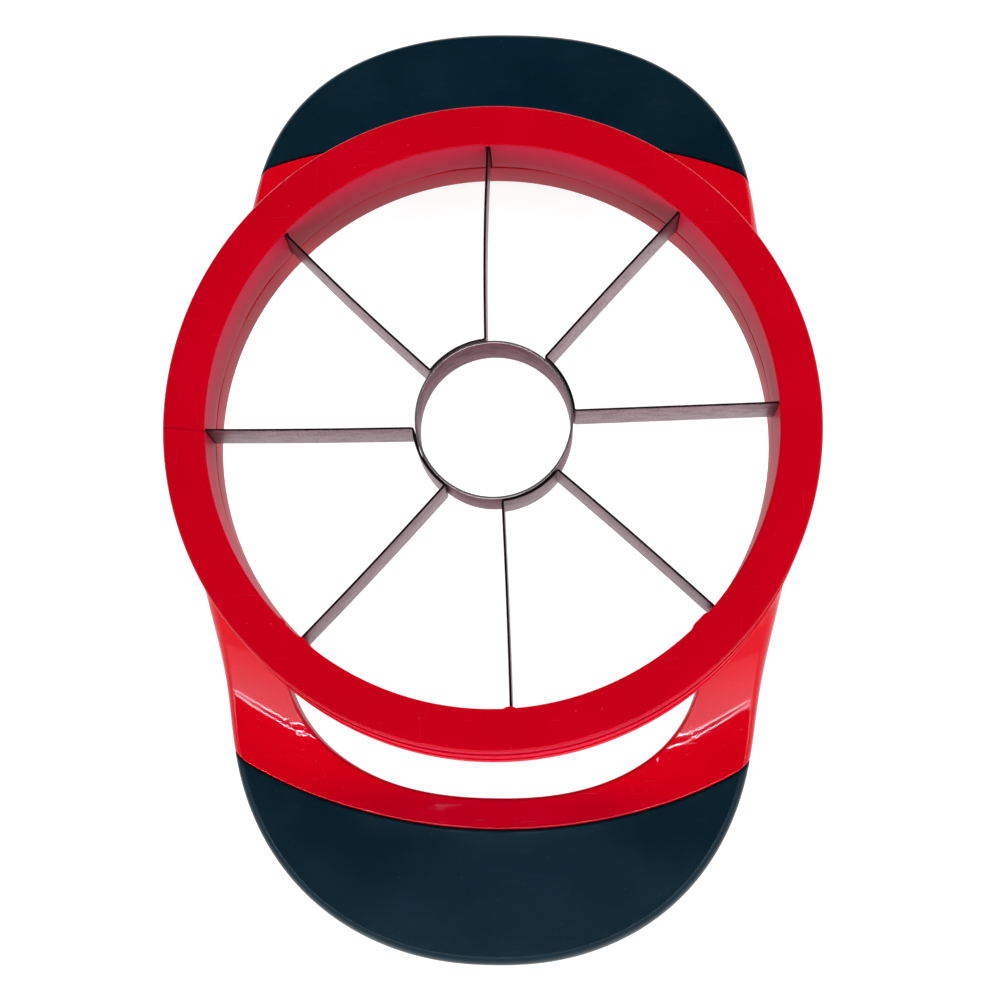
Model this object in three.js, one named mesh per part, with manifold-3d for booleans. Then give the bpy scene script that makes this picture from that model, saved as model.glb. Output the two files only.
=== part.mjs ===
// Apple slicer, corer and wedger that is pressed down by two handles. Millimetres, +Z up.
// It stands on its two grips with the flat ring face up; in use that face lies on the board.
// The origin is on the floor under the middle of the ring, and +Y runs along the handles.

import * as THREE from 'three';
import { mergeVertices } from 'three/addons/utils/BufferGeometryUtils.js';
import Module from 'manifold-3d';

const wasm = await Module();
wasm.setup();

// Whole object
const HEIGHT = 62;
const GAP = 0.3;

// Corners closer than this are merged, so that cuts leave no slivers
const MERGE_WITHIN = 0.02;

// Ring: depths are measured down from the flat face
const RING_OUTER_R = 55;
const RING_INNER_R = 47.9;
const RING_DEPTH = 19.5;
const RING_DRAFT = 0.8;
const RING_SIDES = 72;
const EDGE_CHAMFER = 0.6;

// Retaining ring: the flat face with a long inner skirt and a short outer skirt
const FACE_THICK = 2.2;
const SKIRT_THICK = 1.7;
const INNER_SEAM_DEPTH = 11.7;
const OUTER_SEAM_DEPTH = 6.2;

// Frame ring: a channel that the retaining ring closes
const TONGUE_INNER_R = 51.3;
const TONGUE_OUTER_R = 52.8;
const TONGUE_DEPTH = 2.6;
const CHANNEL_DEPTH = 17.3;

// Blades: bent strips, two blades to a strip, round a rolled corer ring
const STEEL_THICK = 0.4;
const BLADE_DEPTH = 1.2;
const BLADE_HEIGHT = 10.5;
const HUB_X = 0.34;
const HUB_Y = 0.35;
const CORER_OUTER_R = 13.35;
const CORER_SIDES = 48;
const STRIP_HUB_R = 13.85;
const HUB_ARC_STEPS = 7;
const FOOT_R = 50.2;
const FOOT_ANGLE = 4.5;
const SLOT_WIDTH = 1;

// Angles in degrees where each strip's two blades meet the rim and the hub
const STRIPS = [
  { name: 'blade_strip_rear_right', rim: [4.6, 49.8], hub: [7.2, 52] },
  { name: 'blade_strip_rear_left', rim: [91.9, 138.1], hub: [97.2, 142.9] },
  { name: 'blade_strip_front_left', rim: [182.6, 230.3], hub: [187.3, 235] },
  { name: 'blade_strip_front_right', rim: [274.9, 320.6], hub: [277.3, 322.3] },
];

// Handle in plan: straight arms that leave the ring at a tangent, and a round end
const ARM_START_Y = 16;
const ARM_FLARE = 0.16;
const FLARE_BLEND = 11;
const END_HALF_WIDTH = 46.4;
const END_CENTRE_Y = 46;
const END_LENGTH = 45.9;
const END_POWER = 2.2;
const WINDOW_HALF_WIDTH = 37.2;
const WINDOW_CENTRE_Y = 35;
const WINDOW_LENGTH = 26.2;
const WINDOW_POWER = 2.3;
const FAN_Y = 30;
const ARM_STEPS = 3;
const FAN_STEPS = 36;
const ARM_TRIM_R = 52.2;

// Arms from the side, where they slope down from the ring: [y, depth, slope]
const ARM_LINE = [
  [16, 8, 0.05],
  [25, 11.5, 0.8],
  [34, 21, 1.15],
  [43, 31, 0.95],
  [52.6, 39.5, 0.85],
  [92, 73, 0.85],
];

// Pad that the fingers pull on: a gentle slope, arched so that its middle is the deepest.
// A soft bend joins the arms to it, on a slant because of the arch.
const PAD_DEPTH = 47.9;
const PAD_SLOPE = 0.24;
const PAD_ARCH = 0.0053;
const BEND_BLEND = 7;
const BASE_BLEND = 1.2;

// The face is crowned: across the handle it falls away on both sides of its highest line
const CROWN = 1.6;
const CROWN_PEAK = 0.2;

// Thickness from the face to the palm side: [y, thickness, slope]
const THICKNESS_LINE = [
  [16, 10.8, 0],
  [34, 8.2, 0],
  [56, 8.4, 0.05],
  [76, 9.9, 0.06],
  [92, 11, 0],
];

// Soft grip: it covers the handle past an arc that is square to the handle's face
const GRIP_EDGE_Y = 66.8;
const GRIP_EDGE_R = 75;
const GRIP_EDGE_SIDES = 24;
const GRIP_TILT = THREE.MathUtils.degToRad(20);
const GRIP_SKIN = 2.8;

const RED = { color: 0xc80018, roughness: 0.3, metalness: 0 };
const SOFT = { color: 0x11262f, roughness: 0.6, metalness: 0 };
const STEEL = { color: 0x9a8f92, roughness: 0.3, metalness: 1 };

// Closed three.js geometry to a solid that can be joined and cut
function toSolid(geometry) {
  const bare = geometry.clone();
  bare.deleteAttribute('normal');
  bare.deleteAttribute('uv');
  const merged = mergeVertices(bare, 1e-4);
  const vertProperties = new Float32Array(merged.attributes.position.array);
  const triVerts = new Uint32Array(merged.index.array);
  if (signedVolume(vertProperties, triVerts) < 0) {
    triVerts.reverse();
  }
  return new wasm.Manifold(new wasm.Mesh({ numProp: 3, vertProperties, triVerts }));
}

function signedVolume(points, triangles) {
  const corner = (i) => new THREE.Vector3().fromArray(points, 3 * triangles[i]);
  let volume = 0;
  for (let i = 0; i < triangles.length; i += 3) {
    volume += corner(i).dot(corner(i + 1).cross(corner(i + 2))) / 6;
  }
  return volume;
}

function toGeometry(solid) {
  const mesh = solid.getMesh();
  const geometry = new THREE.BufferGeometry();
  geometry.setAttribute('position', new THREE.BufferAttribute(mesh.vertProperties, 3));
  geometry.setIndex(new THREE.BufferAttribute(mesh.triVerts, 1));
  return geometry;
}

function namedMesh(name, solid, finish) {
  const mesh = new THREE.Mesh(toGeometry(solid), new THREE.MeshStandardMaterial(finish));
  mesh.name = name;
  return mesh;
}

// Ring turned about Z from [radius, depth] corners
function turned(corners, sides) {
  const profile = corners.map(([r, depth]) => new THREE.Vector2(r, HEIGHT - depth));
  profile.push(profile[0].clone());
  return toSolid(new THREE.LatheGeometry(profile, sides).rotateX(Math.PI / 2));
}

function polar(radius, degrees) {
  const angle = THREE.MathUtils.degToRad(degrees);
  return new THREE.Vector2(radius * Math.cos(angle), radius * Math.sin(angle));
}

// Blades

function hubPoint(radius, degrees) {
  return polar(radius, degrees).add(new THREE.Vector2(HUB_X, HUB_Y));
}

// Outline of a path with the sheet's thickness, mitred at its bends
function ribbon(path, thickness) {
  const side = (sign) => path.map((point, i) => {
    const before = path[Math.max(i - 1, 0)];
    const after = path[Math.min(i + 1, path.length - 1)];
    const incoming = (i > 0 ? point.clone().sub(before) : after.clone().sub(point)).normalize();
    const outgoing = (after === point ? point.clone().sub(before) : after.clone().sub(point)).normalize();
    const tangent = incoming.clone().add(outgoing).normalize();
    const reach = sign * thickness / 2 / tangent.dot(incoming);
    return new THREE.Vector2(point.x - tangent.y * reach, point.y + tangent.x * reach);
  });
  return [...side(1), ...side(-1).reverse()];
}

function stripPath({ rim, hub }) {
  const path = [polar(FOOT_R, rim[0] - FOOT_ANGLE), polar(FOOT_R, rim[0])];
  for (let i = 0; i <= HUB_ARC_STEPS; i += 1) {
    path.push(hubPoint(STRIP_HUB_R, THREE.MathUtils.lerp(hub[0], hub[1], i / HUB_ARC_STEPS)));
  }
  path.push(polar(FOOT_R, rim[1]), polar(FOOT_R, rim[1] + FOOT_ANGLE));
  return path;
}

// The feet are lower than the blades, to pass under the flat face
function bladeStrip(strip) {
  const outline = new THREE.Shape(ribbon(stripPath(strip), STEEL_THICK));
  const sheet = new THREE.ExtrudeGeometry(outline, { depth: BLADE_HEIGHT, bevelEnabled: false });
  sheet.translate(0, 0, HEIGHT - BLADE_DEPTH - BLADE_HEIGHT);
  const skirtOuter = RING_INNER_R + SKIRT_THICK;
  const footTrim = turned([
    [skirtOuter, TONGUE_DEPTH],
    [TONGUE_INNER_R, TONGUE_DEPTH],
    [TONGUE_INNER_R, 0],
    [skirtOuter, 0],
  ], RING_SIDES);
  return toSolid(sheet).subtract(footTrim);
}

function corerRing() {
  const inner = CORER_OUTER_R - STEEL_THICK;
  const foot = BLADE_DEPTH + BLADE_HEIGHT;
  return turned([
    [inner, BLADE_DEPTH],
    [CORER_OUTER_R, BLADE_DEPTH],
    [CORER_OUTER_R, foot],
    [inner, foot],
  ], CORER_SIDES).translate([HUB_X, HUB_Y, 0]);
}

// Boxes where the blades pass through the inner skirt, open at its lower edge
function bladeSlots() {
  const top = BLADE_DEPTH - GAP;
  const bottom = INNER_SEAM_DEPTH + 1;
  const length = SKIRT_THICK + 2;
  const slots = [];
  for (const { rim, hub } of STRIPS) {
    for (const i of [0, 1]) {
      const outer = polar(FOOT_R, rim[i]);
      const inward = hubPoint(STRIP_HUB_R, hub[i]).sub(outer).normalize();
      const middle = outer.clone().addScaledVector(inward, FOOT_R - RING_INNER_R - SKIRT_THICK / 2);
      const box = new THREE.BoxGeometry(length, SLOT_WIDTH, bottom - top);
      box.rotateZ(inward.angle());
      box.translate(middle.x, middle.y, HEIGHT - (top + bottom) / 2);
      slots.push(toSolid(box));
    }
  }
  return slots.reduce((all, slot) => all.add(slot));
}

// Retaining ring

function retainingRing() {
  const innerSkirt = RING_INNER_R + SKIRT_THICK;
  const outerSkirt = RING_OUTER_R - SKIRT_THICK;
  const ring = turned([
    [RING_INNER_R + EDGE_CHAMFER / 2, 0],
    [RING_OUTER_R - EDGE_CHAMFER, 0],
    [RING_OUTER_R, EDGE_CHAMFER],
    [RING_OUTER_R, OUTER_SEAM_DEPTH],
    [outerSkirt, OUTER_SEAM_DEPTH],
    [outerSkirt, FACE_THICK],
    [innerSkirt, FACE_THICK],
    [innerSkirt, INNER_SEAM_DEPTH],
    [RING_INNER_R, INNER_SEAM_DEPTH],
    [RING_INNER_R, EDGE_CHAMFER / 2],
  ], RING_SIDES);
  return ring.subtract(bladeSlots());
}

// Frame: channel ring, two handle loops and the tongues inside the grips

// The blades' lower edges bear on the top of the channel's inner wall
function channelRing() {
  const innerWall = RING_INNER_R + SKIRT_THICK;
  const innerTop = INNER_SEAM_DEPTH + GAP;
  const outerTop = OUTER_SEAM_DEPTH + GAP;
  const draftR = RING_OUTER_R + RING_DRAFT;
  return turned([
    [RING_INNER_R, innerTop],
    [innerWall, innerTop],
    [innerWall, CHANNEL_DEPTH],
    [TONGUE_INNER_R, CHANNEL_DEPTH],
    [TONGUE_INNER_R, TONGUE_DEPTH],
    [TONGUE_OUTER_R, TONGUE_DEPTH],
    [TONGUE_OUTER_R, outerTop],
    [RING_OUTER_R, outerTop],
    [draftR, RING_DEPTH - EDGE_CHAMFER],
    [draftR - EDGE_CHAMFER, RING_DEPTH],
    [RING_INNER_R + EDGE_CHAMFER, RING_DEPTH],
    [RING_INNER_R, RING_DEPTH - EDGE_CHAMFER],
  ], RING_SIDES);
}

// Value on a side line at y: a smooth curve through its points with their slopes
function valueOn(line, y) {
  const inside = Math.min(Math.max(y, line[0][0]), line.at(-1)[0]);
  const i = Math.max(line.findIndex(([at]) => inside <= at), 1);
  const [y0, d0, m0] = line[i - 1];
  const [y1, d1, m1] = line[i];
  const span = y1 - y0;
  const t = (inside - y0) / span;
  const blend = t * t * (3 - 2 * t);
  const start = t * (1 - t) * (1 - t) * span * m0;
  const end = t * t * (t - 1) * span * m1;
  return d0 + (d1 - d0) * blend + start + end;
}

// The smaller of two depths, with the corner between them rounded
function smallerOf(a, b, blend) {
  const near = Math.max(blend - Math.abs(a - b), 0) / blend;
  return Math.min(a, b) - near * near * blend / 4;
}

function faceDepth(x, y) {
  const pad = PAD_DEPTH + PAD_SLOPE * (y - GRIP_EDGE_Y) - PAD_ARCH * x * x;
  return smallerOf(valueOn(ARM_LINE, y), pad, BEND_BLEND);
}

// The palm side is flat where the part stands on it
function palmDepth(x, y) {
  return smallerOf(faceDepth(x, y) + valueOn(THICKNESS_LINE, y), HEIGHT, BASE_BLEND);
}

function insideRoundEnd(x, y, halfWidth, centreY, length, power) {
  const across = Math.max(x, 0) / halfWidth;
  const along = Math.max(y - centreY, 0) / length;
  return across ** power + along ** power < 1;
}

// The arms widen towards the ring, and the widening fades out into the round end
function insideOutline(x, y) {
  const before = END_CENTRE_Y - y;
  const flare = ARM_FLARE * (before + Math.hypot(before, FLARE_BLEND)) / 2;
  return insideRoundEnd(x - flare, y, END_HALF_WIDTH, END_CENTRE_Y, END_LENGTH, END_POWER);
}

function insideWindow(x, y) {
  return insideRoundEnd(x, y, WINDOW_HALF_WIDTH, WINDOW_CENTRE_Y, WINDOW_LENGTH, WINDOW_POWER);
}

// Distance from the start to where a ray to +X and +Y leaves an area
function reach(inside, startY, angle) {
  let near = 0;
  let far = 100;
  for (let i = 0; i < 40; i += 1) {
    const middle = (near + far) / 2;
    if (inside(middle * Math.cos(angle), startY + middle * Math.sin(angle))) {
      near = middle;
    } else {
      far = middle;
    }
  }
  return near;
}

// Section lines across the handle from the window's edge to the outline, right side to left
function handleSpans() {
  const right = [];
  for (let i = 0; i <= ARM_STEPS; i += 1) {
    right.push([THREE.MathUtils.lerp(ARM_START_Y, FAN_Y, i / ARM_STEPS), 0]);
  }
  for (let i = 1; i <= FAN_STEPS / 2; i += 1) {
    right.push([FAN_Y, Math.PI * i / FAN_STEPS]);
  }
  const spans = right.map(([startY, angle]) => {
    const along = new THREE.Vector2(Math.cos(angle), Math.sin(angle));
    const start = new THREE.Vector2(0, startY);
    const edge = (inside) => start.clone().addScaledVector(along, reach(inside, startY, angle));
    return [edge(insideWindow), edge(insideOutline)];
  });
  const left = spans.slice(0, -1).reverse().map((span) => span.map(({ x, y }) => new THREE.Vector2(-x, y)));
  return [...spans, ...left];
}

// Corners of a full section: where it is, how far from that edge or what share of the width
// from the window's edge, and its share of the thickness from the face
const BODY_SECTION = [
  ['inner', 0, 0.25],
  ['inner', 1.2, 0],
  ['across', 0.3, 0],
  ['across', 0.5, 0],
  ['across', 0.7, 0],
  ['outer', 2, 0],
  ['outer', 0.6, 0.15],
  ['outer', 0, 0.5],
  ['outer', 0.6, 0.85],
  ['outer', 2, 1],
  ['across', 0.82, 1],
  ['across', 0.5, 1],
  ['inner', 1.2, 1],
  ['inner', 0, 0.75],
];

// Place on a section line, with the depth of the crowned face there
function sectionPlace([inner, outer], edge, amount) {
  const width = inner.distanceTo(outer);
  const share = { inner: amount / width, across: amount, outer: 1 - amount / width }[edge];
  const { x, y } = inner.clone().lerp(outer, share);
  return { x, y, face: faceDepth(x, y) + CROWN * (share - CROWN_PEAK) ** 2 };
}

function bodySection(span) {
  return BODY_SECTION.map(([edge, amount, share]) => {
    const { x, y, face } = sectionPlace(span, edge, amount);
    const depth = THREE.MathUtils.lerp(face, palmDepth(x, y), share);
    return new THREE.Vector3(x, y, HEIGHT - depth);
  });
}

// Six-cornered section that stays one skin inside the body on every side
function coreSection(span, skin) {
  const corners = [
    ['inner', skin, 1],
    ['across', 0.5, 1],
    ['outer', skin, 1],
    ['outer', skin, -1],
    ['across', 0.5, -1],
    ['inner', skin, -1],
  ];
  return corners.map(([edge, amount, side]) => {
    const { x, y, face } = sectionPlace(span, edge, amount);
    const depth = side > 0 ? face + skin : palmDepth(x, y) - skin;
    return new THREE.Vector3(x, y, HEIGHT - depth);
  });
}

// Closed solid through a row of sections with as many corners each
function loft(sections) {
  const count = sections[0].length;
  const corners = sections.flat();
  const index = [];
  for (let s = 0; s < sections.length - 1; s += 1) {
    for (let i = 0; i < count; i += 1) {
      const a = s * count + i;
      const b = s * count + (i + 1) % count;
      index.push(a, b, a + count, b, b + count, a + count);
    }
  }
  const lastStart = corners.length - count;
  for (let i = 1; i < count - 1; i += 1) {
    index.push(0, i + 1, i);
    index.push(lastStart, lastStart + i, lastStart + i + 1);
  }
  const geometry = new THREE.BufferGeometry().setFromPoints(corners);
  geometry.setIndex(index);
  return toSolid(geometry);
}

// Everything past the arc where the soft grip starts, moved along the handle by a shift
function gripZone(shift) {
  const shape = new THREE.Shape();
  const halfSpan = 70;
  const sweep = Math.asin(halfSpan / GRIP_EDGE_R);
  for (let i = 0; i <= GRIP_EDGE_SIDES; i += 1) {
    const angle = THREE.MathUtils.lerp(sweep, -sweep, i / GRIP_EDGE_SIDES);
    const x = GRIP_EDGE_R * Math.sin(angle);
    const y = GRIP_EDGE_R * Math.cos(angle) - GRIP_EDGE_R;
    if (i === 0) {
      shape.moveTo(x, y);
    } else {
      shape.lineTo(x, y);
    }
  }
  shape.lineTo(-halfSpan, halfSpan);
  shape.lineTo(halfSpan, halfSpan);
  const zone = new THREE.ExtrudeGeometry(shape, { depth: HEIGHT, bevelEnabled: false });
  zone.translate(0, shift, -HEIGHT / 2);
  zone.rotateX(-GRIP_TILT);
  zone.translate(0, GRIP_EDGE_Y, HEIGHT - faceDepth(0, GRIP_EDGE_Y));
  return toSolid(zone);
}

// The frame's share of the rear handle, with the tongue that the grip is moulded round
function handleFrame(body, spans) {
  const bore = toSolid(new THREE.CylinderGeometry(ARM_TRIM_R, ARM_TRIM_R, 2 * HEIGHT, RING_SIDES)
    .rotateX(Math.PI / 2));
  const arms = body.subtract(bore).subtract(gripZone(0));
  const tongue = loft(spans.map((span) => coreSection(span, GRIP_SKIN + GAP))).intersect(gripZone(-1));
  return arms.add(tongue);
}

function softGrip(body, spans) {
  const pocket = loft(spans.map((span) => coreSection(span, GRIP_SKIN)));
  return body.intersect(gripZone(GAP)).subtract(pocket);
}

const mirrored = (solid) => solid.mirror([0, 1, 0]);

const spans = handleSpans();
const handleBody = loft(spans.map(bodySection));
const rearFrame = handleFrame(handleBody, spans);
const rearGrip = softGrip(handleBody, spans);
const frame = channelRing().add(rearFrame).add(mirrored(rearFrame)).simplify(MERGE_WITHIN);

const slicer = new THREE.Group();
slicer.add(namedMesh('frame', frame, RED));
slicer.add(namedMesh('rear_grip', rearGrip, SOFT));
slicer.add(namedMesh('front_grip', mirrored(rearGrip), SOFT));
for (const strip of STRIPS) {
  slicer.add(namedMesh(strip.name, bladeStrip(strip), STEEL));
}
slicer.add(namedMesh('corer_ring', corerRing(), STEEL));
slicer.add(namedMesh('retaining_ring', retainingRing(), RED));

export default slicer;
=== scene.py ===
import math
import bpy
import numpy as np
from mathutils import Matrix, Vector


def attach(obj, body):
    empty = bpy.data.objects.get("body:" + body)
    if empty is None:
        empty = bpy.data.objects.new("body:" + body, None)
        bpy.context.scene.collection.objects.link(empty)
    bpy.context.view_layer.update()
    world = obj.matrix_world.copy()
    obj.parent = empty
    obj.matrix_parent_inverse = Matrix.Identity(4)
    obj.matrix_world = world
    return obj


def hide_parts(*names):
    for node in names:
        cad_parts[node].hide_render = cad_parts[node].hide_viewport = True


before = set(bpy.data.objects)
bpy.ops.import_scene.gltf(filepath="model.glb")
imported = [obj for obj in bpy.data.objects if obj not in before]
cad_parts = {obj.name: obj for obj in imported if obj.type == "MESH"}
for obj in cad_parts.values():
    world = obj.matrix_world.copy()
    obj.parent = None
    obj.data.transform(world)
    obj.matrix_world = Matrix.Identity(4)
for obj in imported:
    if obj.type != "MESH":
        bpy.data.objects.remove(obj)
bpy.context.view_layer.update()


# Red frame ring
# The frame is one moulding in glossy red ABS. Its ring is a channel, open towards the flat face,
# with two fine ledges on its outer wall. The retaining ring snaps over it and traps the blades.

HEIGHT = 62.0
RING_OUTER_R = 55.0
RING_INNER_R = 47.9
RING_DEPTH = 19.5
RING_DRAFT = 0.79
SKIRT = 1.7
INNER_SEAM = 11.7
OUTER_SEAM = 6.2
SEAM_GAP = 0.22
LEDGE = 0.32
LEDGE_DRAFT = 0.1
LOWER_LEDGE = 0.26
LOWER_LEDGE_DEPTH = 13.4
TONGUE_INNER_R = 51.3
TONGUE_OUTER_R = 52.8
TONGUE_DEPTH = 2.6
CHANNEL_DEPTH = 17.3
RING_STEPS = 360


def rounded_section(corners, steps=5):
    """A closed outline from (radius, depth, fillet) corners, with each corner rounded."""
    points = []
    count = len(corners)
    for i, (r, depth, fillet) in enumerate(corners):
        here = np.array([r, depth])
        if fillet <= 0:
            points.append(here)
            continue
        before = np.array(corners[i - 1][:2]) - here
        after = np.array(corners[(i + 1) % count][:2]) - here
        before /= np.linalg.norm(before)
        after /= np.linalg.norm(after)
        half = math.acos(np.clip(before @ after, -1, 1)) / 2
        run = fillet / math.tan(half)
        middle = (before + after) / np.linalg.norm(before + after) * fillet / math.sin(half)
        start = before * run - middle
        end = after * run - middle
        turn = math.atan2(start[0] * end[1] - start[1] * end[0], start @ end)
        for k in range(steps + 1):
            a = turn * k / steps
            spin = np.array([[math.cos(a), -math.sin(a)], [math.sin(a), math.cos(a)]])
            points.append(here + middle + spin @ start)
    return np.array(points)


def closed_rows(rows, loop=True):
    """Corners and faces of a skin through rows of points, each row a closed outline."""
    count, width, _ = rows.shape
    index = np.arange(count * width).reshape(count, width)
    after = np.roll(index, -1, axis=0) if loop else index[1:]
    here = index if loop else index[:-1]
    quads = np.stack([here, np.roll(here, -1, 1), np.roll(after, -1, 1), after], -1).reshape(-1, 4)
    faces = quads.tolist()
    if not loop:
        faces.append(index[0, ::-1].tolist())
        faces.append(index[-1].tolist())
    return rows.reshape(-1, 3), faces


def turned_rows(section, steps=RING_STEPS, wobble=None, sag=None):
    """Rows of a ring turned about the upright axis from a (radius, depth) outline, with small
    changes of radius and of depth round it."""
    angles = np.arange(steps) / steps * 2 * math.pi
    r = np.broadcast_to(section[:, 0], (steps, len(section)))
    z = np.broadcast_to(HEIGHT - section[:, 1], r.shape)
    if sag is not None:
        z = z - sag(angles[:, None], r, section[None, :, 1])
    if wobble is not None:
        r = r + wobble(angles[:, None], r, section[None, :, 1])
    return np.stack([r * np.cos(angles)[:, None], r * np.sin(angles)[:, None], z], -1)


def moulded(name, corners, faces, material, sharp=35.0):
    """A smooth-shaded piece from corners in millimetres, with its creases kept sharp."""
    mesh = bpy.data.meshes.new(name)
    mesh.from_pydata((np.asarray(corners) / 1000).tolist(), [], faces)
    mesh.validate()
    piece = bpy.data.objects.new(name, mesh)
    bpy.context.scene.collection.objects.link(piece)
    if material is not None:
        mesh.materials.append(material)
    face_outwards(mesh)
    mesh.shade_smooth()
    mesh.set_sharp_from_angle(angle=math.radians(sharp))
    return piece


def face_outwards(mesh):
    """Turns every face over if the closed skin is inside out."""
    corners = np.array([v.co for v in mesh.vertices])
    mesh.calc_loop_triangles()
    triangles = np.array([t.vertices for t in mesh.loop_triangles])
    a, b, c = (corners[triangles[:, i]] for i in range(3))
    if np.einsum("ij,ij->i", a, np.cross(b, c)).sum() < 0:
        mesh.flip_normals()


def set_range(node, low, high, to_low, to_high):
    """What a Map Range node reads from and what it gives."""
    sockets = ("From Min", "From Max", "To Min", "To Max")
    for socket, number in zip(sockets, (low, high, to_low, to_high)):
        node.inputs[socket].default_value = number


def position_parts(nodes, links, place):
    """X, Y and Z of a vector."""
    split = nodes.new("ShaderNodeSeparateXYZ")
    links.new(place, split.inputs[0])
    return [split.outputs[axis] for axis in "XYZ"]


class Finish:
    """A material made of nodes round one Principled shader, in millimetres on the object."""

    def __init__(self, name, **settings):
        self.material = bpy.data.materials.new(name)
        self.material.use_nodes = True
        self.nodes = self.material.node_tree.nodes
        self.links = self.material.node_tree.links
        self.shader = self.nodes["Principled BSDF"]
        for socket, value in settings.items():
            self.shader.inputs[socket.replace("_", " ")].default_value = value
        place = self.nodes.new("ShaderNodeTexCoord")
        self.place = self.scaled(place.outputs["Object"], (1000, 1000, 1000))

    def scaled(self, vector, scale, turn=(0, 0, 0)):
        mapping = self.nodes.new("ShaderNodeMapping")
        mapping.inputs["Scale"].default_value = scale
        mapping.inputs["Rotation"].default_value = [math.radians(t) for t in turn]
        self.links.new(vector, mapping.inputs["Vector"])
        return mapping.outputs["Vector"]

    def value(self, source, socket):
        if isinstance(source, bpy.types.NodeSocket):
            self.links.new(source, socket)
        else:
            socket.default_value = source

    def noise(self, scale, detail=2.0, roughness=0.5, at=None):
        made = self.nodes.new("ShaderNodeTexNoise")
        made.inputs["Scale"].default_value = scale
        made.inputs["Detail"].default_value = detail
        made.inputs["Roughness"].default_value = roughness
        self.links.new(at or self.place, made.inputs["Vector"])
        return made.outputs["Factor" if "Factor" in made.outputs else "Fac"]

    def specks(self, scale, size, at=None):
        made = self.nodes.new("ShaderNodeTexVoronoi")
        made.inputs["Scale"].default_value = scale
        self.links.new(at or self.place, made.inputs["Vector"])
        return self.ramp(made.outputs["Distance"], size, size * 0.6)

    def ramp(self, source, low, high, to_low=0.0, to_high=1.0):
        made = self.nodes.new("ShaderNodeMapRange")
        made.interpolation_type = "SMOOTHSTEP"
        if low > high:
            low, high, to_low, to_high = high, low, to_high, to_low
        self.links.new(source, made.inputs["Value"])
        set_range(made, low, high, to_low, to_high)
        return made.outputs["Result"]

    def math(self, operation, a, b=0.0, c=0.0):
        made = self.nodes.new("ShaderNodeMath")
        made.operation = operation
        for source, socket in zip((a, b, c), made.inputs):
            self.value(source, socket)
        return made.outputs[0]

    def blend(self, share, under, over):
        made = self.nodes.new("ShaderNodeMix")
        made.data_type = "RGBA"
        self.value(share, made.inputs["Factor"])
        for source, socket in ((under, made.inputs[6]), (over, made.inputs[7])):
            self.value(source, socket)
        return made.outputs[2]

    def upright(self):
        """One where the surface stands upright, as on the walls that slide in the mould, which are
        rougher; the red plastic also has a painted reflection tint there.
        """
        made = self.nodes.new("ShaderNodeNewGeometry")
        _, _, rise = position_parts(self.nodes, self.links, made.outputs["Normal"])
        return self.ramp(self.math("ABSOLUTE", rise), 0.35, 0.08)

    def bump(self, height, distance, strength=1.0, under=None):
        made = self.nodes.new("ShaderNodeBump")
        made.inputs["Strength"].default_value = strength
        made.inputs["Distance"].default_value = distance
        self.links.new(height, made.inputs["Height"])
        if under is not None:
            self.links.new(under, made.inputs["Normal"])
        return made.outputs["Normal"]

    def wear(self, source, socket):
        self.links.new(source, self.shader.inputs[socket])


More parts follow.
